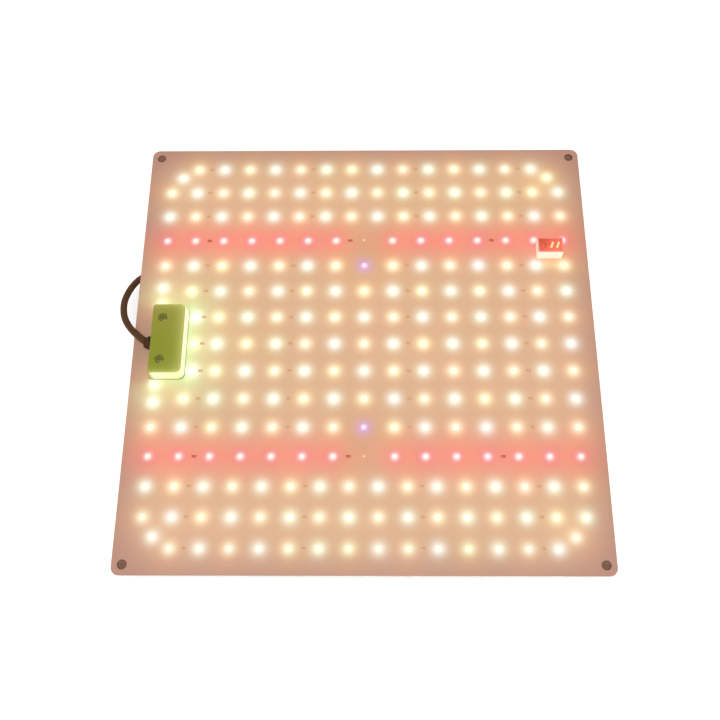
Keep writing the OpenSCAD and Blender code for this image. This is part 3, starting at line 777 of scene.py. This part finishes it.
def build_resistors():
    """Chip resistors: a dark body between two tinned ends."""
    length, width, height = RESISTOR_SIZE
    body = box_mesh("body", (length - 2 * RESISTOR_END, width, height), (0, 0, height / 2), 0.06 * MM)
    dress(body, "resistor_body")
    ends = []
    for side in (-1, 1):
        centre = (side * (length - RESISTOR_END) / 2, 0, height / 2)
        cap = box_mesh("cap", (RESISTOR_END, width, height), centre, 0.08 * MM)
        dress(cap, "resistor_end")
        ends.append(cap)
    template = joined("resistor", [body] + ends)
    places = at_height(centres("chip_resistors"), BOARD_TOP)
    chips = copies("resistor_chips", template, places)
    points = vertex_values(chips)
    beside_red = np.abs(np.abs(points[:, 1]) - np.abs(LEDS["red"][:, 1]).max()) < 5 * MM
    haze = np.where(beside_red[:, None], RED_HAZE, WHITE_HAZE)
    write_colours(chips, haze + 0.25 * board_glow(points))
    add_piece(chips, "chip_resistors")


# ---------------- terminal cover

COVER_INNER_R = 3.5 * MM
COVER_OUTER_R = 2 * MM
BOSS_R = 3.9 * MM
COUNTERBORE_R = 3 * MM
SCREW_HOLE_R = 1.7 * MM
BUSH_HOLE_R = 2.9 * MM


def build_cover():
    """A drafted shell with a rounded top, two screw bosses and the bush's hole."""
    x0, y0, z0 = COVER_LOW
    x1, y1, z1 = COVER_HIGH
    foot = z0 + 0.6 * MM
    draft, wall, fillet = 0.9 * MM, 1.6 * MM, 0.9 * MM
    steps = 6

    def level(inset, z, shrink=0.0):
        """Outline at a height: drafted, and set in further where the top edge rounds over."""
        lean = draft * (z - foot) / (z1 - foot)
        d = inset + lean + shrink
        radii = [max(0.5 * MM, r - inset - shrink)
                 for r in (COVER_INNER_R, COVER_INNER_R, COVER_OUTER_R, COVER_OUTER_R)]
        return [(x, y, z) for x, y in rounded_outline(x0 + d, x1 - d, y0 + d, y1 - d, radii)]

    rounding = [(fillet * (1 - math.cos(a)), z1 - fillet * (1 - math.sin(a)))
                for a in (math.pi / 2 * k / steps for k in range(steps + 1))]
    rise = [level(0, foot + (z1 - fillet - foot) * k / 8) for k in range(8)]
    top = [level(0, z, shrink) for shrink, z in rounding]
    flat = [level(0, z1, fillet + 0.8 * MM * k) for k in range(1, 5)]
    shell = lofted("cover_shell", rise + top + flat)
    hollow = lofted("hollow", [level(wall, foot - MM), level(wall, z1 - wall)])
    combine(shell, hollow, "DIFFERENCE")
    seat, lip = foot + 6 * MM, 0.35 * MM
    bore = [(0, z0 - MM), (SCREW_HOLE_R, z0 - MM), (SCREW_HOLE_R, seat), (COUNTERBORE_R, seat),
            (COUNTERBORE_R, z1 - lip), (COUNTERBORE_R + lip, z1 + 0.001 * MM),
            (COUNTERBORE_R + lip, z1 + 2 * MM), (0, z1 + 2 * MM)]
    for x, y in centres("cover_screws", SCREW_REACH):
        combine(shell, moved(cylinder("boss", BOSS_R, z0, z1 - 0.8 * MM, 40), x, y, 0), "UNION")
        combine(shell, moved(lathe("bore", bore, 40), x, y, 0), "DIFFERENCE")
    lead = middle("cable_bush")
    gap = cylinder("gap", BUSH_HOLE_R, -4 * MM, 4 * MM, 40)
    turn = Matrix.Translation((x0, lead[1], lead[2])) @ Matrix.Rotation(math.pi / 2, 4, "Y")
    combine(shell, placed(gap, turn), "DIFFERENCE")
    smooth(shell, 32)
    refine(shell, 2 * MM, 5)
    smooth(shell, 32)
    light_cover(shell, z1)
    add_piece(shell, "terminal_cover", "translucent_green")


# Light that comes through the cover's walls, and that seeps into its top from the lit edges
THROUGH_WALL, PALER_WHERE_STRONG = (0.92, 0.93, 0.42), (0.0, 0.0, 0.25)
WALL_GAIN, WALL_LIMIT = 1.5, 0.9
SEEP_COLOUR, SEEP, WELL_SEEP = (1.0, 1.0, 0.42), 0.36, 0.06
SEEP_SIDE_REACH, SEEP_END_REACH = 3.2 * MM, 2 * MM
WALL_ZONE = 0.88  # share of the half width past which a point belongs to the walls


def light_cover(shell, top):
    """Walls that face LEDs glow pale yellow through the plastic, a little less at their foot and
    hardly at all on the outer side; the top glows only near its lit edges."""
    points, normals = vertex_values(shell), vertex_values(shell, "normal")
    middle_xy = (COVER_LOW + COVER_HIGH)[:2] / 2
    half = (COVER_HIGH - COVER_LOW)[:2] / 2
    offset = (points[:, :2] - middle_xy) / half
    outside = np.abs(offset).max(axis=1) > WALL_ZONE
    strength = beam_light(points, normals).mean(axis=1)
    upright = np.clip(1.4 - np.abs(normals[:, 2]) * 2, 0, 1) * outside
    inner_side = np.clip((points[:, 0] - COVER_LOW[0]) / (4 * MM), 0.03, 1)
    above_foot = np.clip((points[:, 2] - COVER_LOW[2]) / (5 * MM), 0, 1)
    wall = np.clip(strength * WALL_GAIN, 0, WALL_LIMIT) * upright * inner_side * (0.74 + 0.26 * above_foot)
    flat = np.clip(normals[:, 2], 0, 1) * (points[:, 2] > top - 2 * MM)
    from_right = COVER_HIGH[0] - points[:, 0]
    from_end = (1 - np.abs(offset[:, 1])) * half[1]
    seep = SEEP * np.exp(-from_right / SEEP_SIDE_REACH) + SEEP * np.exp(-from_end / SEEP_END_REACH)
    seep *= flat
    wells = ~outside & (points[:, 2] > top - 3.6 * MM)
    seep += WELL_SEEP * wells * (1 - flat)
    paler = np.clip((strength * 2.2 - 1) / 2, 0, 1)[:, None] * PALER_WHERE_STRONG
    write_colours(shell, wall[:, None] * (paler + THROUGH_WALL) + seep[:, None] * SEEP_COLOUR)


def build_cover_gasket():
    """A rubber band with slightly bulging sides, under the cover's walls."""
    x0, y0, z0 = low("cover_gasket")
    x1, y1, z1 = high("cover_gasket")
    bulge, width = 0.12 * MM, 1.6 * MM
    radii = [COVER_INNER_R, COVER_INNER_R, COVER_OUTER_R, COVER_OUTER_R]
    loops = []
    for k in range(5):
        f = k / 4
        d = -bulge * math.sin(math.pi * f)
        loops.append([(x, y, z0 + (z1 - z0) * f)
                      for x, y in rounded_outline(x0 + d, x1 - d, y0 + d, y1 - d, radii)])
    band = lofted("cover_seal", loops)
    inner_radii = [1.9 * MM, 1.9 * MM, 0.6 * MM, 0.6 * MM]
    inner = rounded_outline(x0 + width, x1 - width, y0 + width, y1 - width, inner_radii)
    combine(band, prism("inner", inner, z0 - MM, z1 + MM), "DIFFERENCE")
    smooth(band, 40)
    add_piece(band, "cover_gasket", "gasket_rubber")


# ---------------- screws, nuts and studs

def cross_recess(width, wing, depth):
    """A cross-shaped cutter with tapered ends, its mouth at z 0."""
    arms = []
    for turn in (0, math.pi / 2):
        loops = []
        for z, scale in ((-depth, 0.45), (-depth * 0.55, 0.8), (0.05 * MM, 1.0), (0.4 * MM, 1.02)):
            hx, hy = wing * scale / 2, width / 2 * (0.8 + 0.2 * scale)
            loops.append([(-hx, -hy, z), (hx, -hy, z), (hx, hy, z), (-hx, hy, z)])
        arms.append(placed(lofted("arm", loops), Matrix.Rotation(turn, 4, "Z")))
    return combine(arms[0], arms[1], "UNION")


def pan_screw(head_r, head_h, shaft_r, length):
    """Pan head screw: its seat at z 0, the head above and the shaft below."""
    steps = 6
    edge = head_h * 0.45
    profile = [(0, -length), (shaft_r * 0.8, -length), (shaft_r, -length + 0.4 * MM), (shaft_r, 0),
               (head_r * 0.96, 0), (head_r, 0.12 * MM), (head_r, edge)]
    for k in range(1, steps + 1):
        a = math.pi / 2 * k / steps
        profile.append((max(0.2 * MM, head_r * math.cos(a) ** 0.7), edge + (head_h - edge) * math.sin(a)))
    profile.append((0, head_h))
    screw = lathe("screw", profile, 40)
    cutter = moved(cross_recess(0.55 * MM, head_r * 1.25, head_h * 0.6), 0, 0, head_h)
    combine(screw, cutter, "DIFFERENCE")
    smooth(screw, 35)
    return screw


def hex_nut(across_corners, bore_r, height):
    """Hexagon nut from z 0 upwards, with chamfered corners and countersunk bore."""
    nut = lofted("nut", [ring(across_corners, z, 6) for z in (0, height)])
    cone, past = 0.32 * MM, 0.01 * MM
    r0, r1 = across_corners * 0.93, across_corners * 1.02
    outer = lathe("outer", [(0, -past), (r0, -past), (r1, cone), (r1, height - cone), (r0, height + past),
                            (0, height + past)], 48)
    combine(nut, outer, "INTERSECT")
    sink = 0.3 * MM
    bore = lathe("bore", [(0, -MM), (bore_r + sink + MM, -MM), (bore_r, sink), (bore_r, height - sink),
                          (bore_r + sink + MM, height + MM), (0, height + MM)], 40)
    combine(nut, bore, "DIFFERENCE")
    smooth(nut, 30)
    return nut


def threaded_rod(radius, z0, z1, pitch, sides=24):
    """A rod whose rings step in and out as a helical thread."""
    depth = 0.3 * pitch
    per_turn = 4
    rows = int((z1 - z0) / pitch * per_turn)
    loops = []
    for k in range(rows + 1):
        z = z0 + (z1 - z0) * k / rows
        fade = min(1.0, k / 3, (rows - k) / 3)
        loop = []
        for j in range(sides):
            a = 2 * math.pi * j / sides
            phase = (z / pitch - j / sides) % 1.0
            cut = depth * abs(2 * phase - 1) * fade
            r = radius - cut - (0.3 * MM * (1 - fade))
            loop.append((r * math.cos(a), r * math.sin(a), z))
        loops.append(loop)
    return lofted("rod", loops, 60)


STUD_R, STUD_PITCH = 2 * MM, 0.7 * MM
STUD_FLANGE_R, STUD_FLANGE_H = 2.75 * MM, 0.7 * MM
NUT_R, NUT_BORE_R = 4.04 * MM, 1.85 * MM
SCREW_SHAFT_R = 1.45 * MM
COVER_HEAD_R, COVER_HEAD_H = 2.5 * MM, 1.6 * MM
CAP_HEAD_R, CAP_HEAD_H, CAP_SCREW_L = 2.75 * MM, 1.8 * MM, 12 * MM


def build_studs():
    studs = at_height(centres("mounting_studs", SCREW_REACH), 0)
    z_low, z_high = low("mounting_studs")[2], high("mounting_studs")[2]
    seat = z_high - STUD_FLANGE_H
    rod = threaded_rod(STUD_R, z_low, seat, STUD_PITCH)
    flange = cylinder("flange", STUD_FLANGE_R, seat, z_high, 32)
    threaded = copies("threaded_studs", joined("stud", [rod, flange]), studs)
    add_piece(threaded, "mounting_studs", "zinc_plated_steel")

    nut_z = low("stud_nuts")[2]
    nut = hex_nut(NUT_R, NUT_BORE_R, high("stud_nuts")[2] - nut_z)
    nuts = copies("hex_nuts", moved(nut, 0, 0, nut_z), studs)
    add_piece(nuts, "stud_nuts", "zinc_plated_steel")


def build_cover_screws():
    seat = high("cover_screws")[2] - COVER_HEAD_H
    screw = pan_screw(COVER_HEAD_R, COVER_HEAD_H, SCREW_SHAFT_R, seat - low("cover_screws")[2])
    places = at_height(centres("cover_screws", SCREW_REACH), 0)
    screws = copies("cover_fixing_screws", moved(screw, 0, 0, seat), places)
    add_piece(screws, "cover_screws", "screw_in_green_light")


def build_end_cap_screws():
    """Four screws in each end cap, each turned to its own angle."""
    case_low, case_high = low("driver_case"), high("driver_case")
    seat = high("end_cap_screws")[0] - CAP_HEAD_H
    y = case_high[1] - 4.5 * MM
    screws = []
    for side in (-1, 1):
        for sy in (-1, 1):
            for z in (case_high[2] - 6.5 * MM, case_low[2] + 4.5 * MM):
                own_turn = Matrix.Rotation(0.4 * sy + z * 90, 4, "Z")
                turn = Matrix.Rotation(side * math.pi / 2, 4, "Y") @ own_turn
                screw = pan_screw(CAP_HEAD_R, CAP_HEAD_H, SCREW_SHAFT_R, CAP_SCREW_L)
                screws.append(placed(screw, Matrix.Translation((side * seat, sy * y, z)) @ turn))
    fixing = joined("end_cap_fixing_screws", screws)
    add_piece(fixing, "end_cap_screws", "zinc_plated_steel")


# ---------------- lead and bush

# Centre line of the link lead, from the terminals under the cover to the driver, in millimetres
LEAD_ROUTE = [
    (-134.5, -1.5, 6.6), (-139, -1.3, 6.6), (-144, 1.6, 6.4), (-149.5, 6.5, 5.8), (-154, 12, 4.8),
    (-157.5, 18.5, 3), (-159.5, 26, 0.5), (-160, 33.5, -2), (-159, 41, -5), (-157, 48, -8),
    (-153.5, 54.5, -11), (-147.5, 59.5, -13.5), (-139.5, 61.5, -15.5), (-131, 59, -17),
    (-125, 52.5, -18), (-121.5, 43.5, -19), (-119, 33.5, -19.5), (-116, 23.5, -20),
    (-111, 14, -20), (-104.5, 6.5, -20), (-97, 1.6, -20), (-90, 0, -20), (-80, 0, -20), (-70, 0, -20)]
LEAD_R = 2.2 * MM


def smooth_path(route, steps):
    """Catmull-Rom curve through the route's points."""
    route = [np.array(p, float) for p in route]
    ends = [route[0]] + route + [route[-1]]
    path = []
    for i in range(1, len(ends) - 2):
        p0, p1, p2, p3 = ends[i - 1:i + 3]
        for k in range(steps):
            t = k / steps
            path.append(0.5 * (2 * p1 + (p2 - p0) * t + (2 * p0 - 5 * p1 + 4 * p2 - p3) * t * t
                               + (3 * p1 - p0 - 3 * p2 + p3) * t ** 3))
    path.append(route[-1])
    return path


def tube_mesh(name, path, radius, sides=28):
    angles = [2 * math.pi * k / sides for k in range(sides)]
    loops = []
    for i, p in enumerate(path):
        ahead = path[min(i + 1, len(path) - 1)] - path[max(i - 1, 0)]
        t = ahead / np.linalg.norm(ahead)
        u = np.cross(t, (0, 0, 1))
        u /= np.linalg.norm(u)
        v = np.cross(u, t)
        loops.append([p + radius * (math.cos(a) * u + math.sin(a) * v) for a in angles])
    return lofted(name, loops, 60)


def build_lead():
    path = [p * MM for p in smooth_path(LEAD_ROUTE, 8)]
    lead = tube_mesh("link_lead_jacket", path, LEAD_R)
    add_piece(lead, "link_lead", "cable_jacket")


def build_bush():
    """Moulded bush: a flange against the cover, and a ribbed taper that lets the lead bend."""
    y, z = middle("cable_bush")[1:]
    inside = [(2.25, -4.0), (3.6, -4.0), (3.6, -2.6), (2.9, -2.6), (2.9, 0)]
    flange = [(4.15, 0), (4.3, 0.15), (4.3, 1.15), (4.05, 1.4)]
    taper = [(3.75, 1.9), (3.8, 2.2), (3.45, 2.7), (3.5, 3.0), (3.15, 3.6), (3.05, 3.95), (2.85, 4.0)]
    bore = [(2.6, 2.2), (2.25, 0)]
    bush = lathe("grommet_bush", [(r * MM, h * MM) for r, h in inside + flange + taper + bore], 40)
    placed(bush, Matrix.Translation((COVER_LOW[0], y, z)) @ Matrix.Rotation(-math.pi / 2, 4, "Y"))
    add_piece(bush, "cable_bush", "bush_rubber")


# ---------------- link header

def build_header():
    """Shrouded header: thin walls round a floor, two slots in the far wall, two ribs and four pins."""
    lo, hi = low("header_shell"), high("header_shell")
    centre = (lo + hi) / 2
    size = hi - lo
    wall, floor, pitch = 0.9 * MM, 2 * MM, 3.96 * MM
    shell = box_mesh("header_body", tuple(size), tuple(centre), 0.25 * MM, 3)
    cavity = box_mesh("cavity", (size[0] - 2 * wall, size[1] - 2 * wall, size[2]),
                      (centre[0], centre[1], lo[2] + floor + size[2] / 2))
    combine(shell, cavity, "DIFFERENCE")
    for side in (-1, 1):
        slot = box_mesh("slot", (1.6 * MM, 1.4 * MM, 8 * MM),
                        (centre[0] + side * pitch, hi[1] - 0.01 * MM, lo[2] + floor + 4 * MM + 0.2 * MM))
        combine(shell, slot, "DIFFERENCE")
        rib = box_mesh("rib", (0.6 * MM, 0.5 * MM, 6 * MM),
                       (centre[0] + side * pitch * 1.5, lo[1] + wall + 0.2 * MM, lo[2] + floor + 3 * MM))
        combine(shell, rib, "UNION")
    refine(shell, 1.2 * MM, 6)
    smooth(shell, 30)
    light_header(shell, centre, size / 2, wall)
    add_piece(shell, "header_shell")

    pin_w, tip = 1.14 * MM, 0.5 * MM
    foot, end = low("header_pins")[2], high("header_pins")[2]
    loops = [[(sx * w / 2, sy * w / 2, h) for sx, sy in ((-1, -1), (1, -1), (1, 1), (-1, 1))]
             for w, h in ((pin_w, foot), (pin_w, end - tip), (pin_w * 0.5, end))]
    y = middle("header_pins")[1]
    places = [(centre[0] + (i - 1.5) * pitch, y, 0) for i in range(4)]
    pins = copies("header_contacts", lofted("pin", loops), places)
    right = vertex_values(pins)[:, 0] > centre[0]
    write_colours(pins, np.where(right[:, None], LIT_PINS, SHADED_PINS))
    bevel(pins, 0.06 * MM)
    add_piece(pins, "header_pins", "lit_pin")


# Light on the header's surfaces, as linear RGB. The front wall's blends upwards from its foot
FRONT_LOW = np.array((0.40, 0.29, 0.09))
FRONT_HIGH = np.array((0.50, 0.46, 0.36))
FRONT_BLEND = 3 * MM
LEFT_WALL_LIGHT = (0.52, 0.34, 0.25)
FAR_WALL_LIGHT = (0.30, 0.05, 0.03)
RIM_LIGHT = (0.42, 0.08, 0.05)
WELL_LEFT = np.array((0.34, 0.04, 0.02))
WELL_RIGHT = np.array((0.60, 0.14, 0.08))
LIT_PINS, SHADED_PINS = (0.80, 0.66, 0.36), (0.16, 0.02, 0.01)
HEADER_GAIN = 2.6  # for the faces that none of these covers


def light_header(shell, centre, half, wall):
    """The front and left walls catch the white LEDs; the rim, well and far walls the red light."""
    dress(shell, "nylon_header", "nylon_in_red_light", "nylon_well_in_red_light")
    lip = 0.05 * MM
    rim = half[2] - 0.3 * MM
    for face in shell.data.polygons:
        x, y, z = (face.center[k] - centre[k] for k in range(3))
        if abs(x) < half[0] - wall + lip and abs(y) < half[1] - wall + lip:
            face.material_index = 2
        elif z > rim:
            face.material_index = 1
    points, normals = vertex_values(shell), vertex_values(shell, "normal")
    place = points - centre
    light = np.minimum(beam_light(points, normals) * HEADER_GAIN, 1.0)
    front = place[:, 1] < -half[1] + wall + lip
    height = np.clip((place[:, 2] + half[2]) / FRONT_BLEND, 0, 1)[:, None]
    front_light = FRONT_LOW + height * (FRONT_HIGH - FRONT_LOW)
    light[front] = front_light[front]
    left = ~front & (place[:, 0] < -half[0] + wall)
    light[left] = LEFT_WALL_LIGHT
    red_side = ~front & ((place[:, 1] > half[1] - wall - lip) | (place[:, 0] > half[0] - wall - lip))
    light[red_side] = FAR_WALL_LIGHT
    light[place[:, 2] > rim] = RIM_LIGHT
    well = (np.abs(place[:, :2]) < half[:2] - wall + lip).all(axis=1) & (place[:, 2] <= rim)
    towards_right = np.clip(place[:, 0] / half[0] * 0.5 + 0.5, 0, 1)[:, None]
    light[well] = (WELL_LEFT + towards_right * (WELL_RIGHT - WELL_LEFT))[well]
    write_colours(shell, light)


# ---------------- CAD nodes that keep their shape

# CAD node: its material, and the width of its bevelled edges in millimetres
KEPT = {
    "base_plate": ("rolled_aluminium", 0.15),
    "cover_nuts": ("zinc_plated_steel", 0.15),
    "terminal_block": ("terminal_green", 0.15),
    "terminal_clamps": ("tinned_contact", 0.1),
    "terminal_screws": ("zinc_plated_steel", 0.08),
    "red_cores": ("red_insulation", 0),
    "black_cores": ("black_insulation", 0),
    "driver_case": ("anodised_extrusion", 0.2),
    "output_end_cap": ("powder_coat", 0.35),
    "mains_end_cap": ("powder_coat", 0.35),
    "end_cap_gaskets": ("gasket_rubber", 0.08),
    "output_gland_body": ("gland_nylon", 0.25),
    "output_gland_cap": ("gland_nylon", 0.3),
    "output_gland_seal": ("gasket_rubber", 0.15),
    "mains_gland_body": ("gland_nylon", 0.25),
    "mains_gland_cap": ("gland_nylon", 0.3),
    "mains_gland_seal": ("gasket_rubber", 0.15),
    "gland_locknuts": ("gland_nylon", 0.2),
    "spacers": ("spacer_nylon", 0.2),
    "stud_washers": ("zinc_plated_steel", 0.12),
    "driver_circuit_board": ("green_circuit_board", 0.1),
    "transformer_core": ("ferrite", 0.3),
    "transformer_winding": ("winding_tape", 0.3),
    "bulk_capacitors": ("capacitor_sleeve", 0.4),
    "output_capacitors": ("capacitor_sleeve", 0.4),
    "input_choke": ("enamelled_copper", 0),
    "filter_capacitor": ("film_capacitor", 0.5),
    "power_transistors": ("gland_nylon", 0.2),
    "insulating_pads": ("thermal_pad", 0),
    "output_terminal": ("spacer_nylon", 0.2),
    "mains_terminal": ("spacer_nylon", 0.2),
}


def dress_kept_nodes():
    for node, (material, edge) in KEPT.items():
        dress(NODES[node], material)
        if edge:
            bevel(NODES[node], edge * MM, 40)


# ---------------- floor, light and camera

def build_floor():
    bpy.ops.mesh.primitive_plane_add(size=2.6, location=(0, 0, CAD_BOX[0][2] - 0.2 * MM))
    floor = bpy.context.object
    floor.name = "floor"
    s = Shader("pale_floor", (0.94, 0.93, 0.91), 0.9, Specular_IOR_Level=0.0)
    s.vary_colour(s.noise(3, 2), (0.94, 0.92, 0.90), (0.95, 0.94, 0.92))
    s.glow((1.0, 1.0, 1.0), 0.09)
    dress(floor, "pale_floor")


def build_hole_shade_discs():
    """Dark brown discs just behind the hanging holes: painted shade, so that these look dark."""
    z = PANEL_LOW[2] - 0.5 * MM
    r, thick = HOLE_R + 0.5 * MM, 0.1 * MM
    shade_discs = copies("hole_shade_discs", cylinder("shade_disc", r, z - thick, z, 32), HOLE_PLACES)
    moulded("brown_shade_disc", (0.175, 0.080, 0.048), 0.8)
    dress(shade_discs, "brown_shade_disc")


def look_from(obj, location, target, roll=0.0):
    """Puts a lamp or camera in its place, pointing at the target."""
    obj.location = location
    obj.rotation_mode = "QUATERNION"
    look = (Vector(target) - obj.location).to_track_quat("-Z", "Y")
    obj.rotation_quaternion = look @ Matrix.Rotation(roll, 3, "Z").to_quaternion()


def build_lights():
    """A large key lamp above the camera's side, in a studio that is bright round the horizon."""
    world = bpy.data.worlds.new("studio")
    world.use_nodes = True
    tree = world.node_tree
    direction = tree.nodes.new("ShaderNodeTexCoord").outputs["Generated"]
    axes = tree.nodes.new("ShaderNodeSeparateXYZ")
    tree.links.new(direction, axes.inputs["Vector"])
    level = tree.nodes.new("ShaderNodeMapRange")
    for socket, number in (("From Min", 0.35), ("From Max", 0.55), ("To Min", 1.0), ("To Max", 0.3)):
        level.inputs[socket].default_value = number
    tree.links.new(axes.outputs["Z"], level.inputs["Value"])
    background = tree.nodes["Background"]
    background.inputs["Color"].default_value = (1, 1, 1, 1)
    tree.links.new(level.outputs["Result"], background.inputs["Strength"])
    bpy.context.scene.world = world
    data = bpy.data.lights.new("key", "AREA")
    data.shape = "DISK"
    data.size = 1.5
    data.energy = 73
    look_from(in_scene("key", data), (0, -0.8, 2.75), (0, 0, 0))


def build_camera():
    data = bpy.data.cameras.new("camera")
    data.sensor_width = 36
    data.lens = 49.29
    data.clip_start = 0.01
    camera = in_scene("camera", data)
    look_from(camera, (0.00586, -0.26161, 0.58610), (-0.00264, -0.01073, 0.0), math.radians(-1.83))
    bpy.context.scene.camera = camera


def build_all():
    bpy.context.scene.view_settings.view_transform = "Standard"
    solder_mask()
    metals()
    screw_in_green_light()
    led_materials()
    resistor_materials()
    translucent_green()
    header_materials()
    lead_materials()
    driver_materials()
    build_camera()
    build_lights()
    build_floor()
    build_hole_shade_discs()
    build_circuit_face()
    build_leds()
    build_resistors()
    build_cover()
    build_cover_gasket()
    build_studs()
    build_cover_screws()
    build_end_cap_screws()
    build_lead()
    build_bush()
    build_header()
    dress_kept_nodes()


build_all()
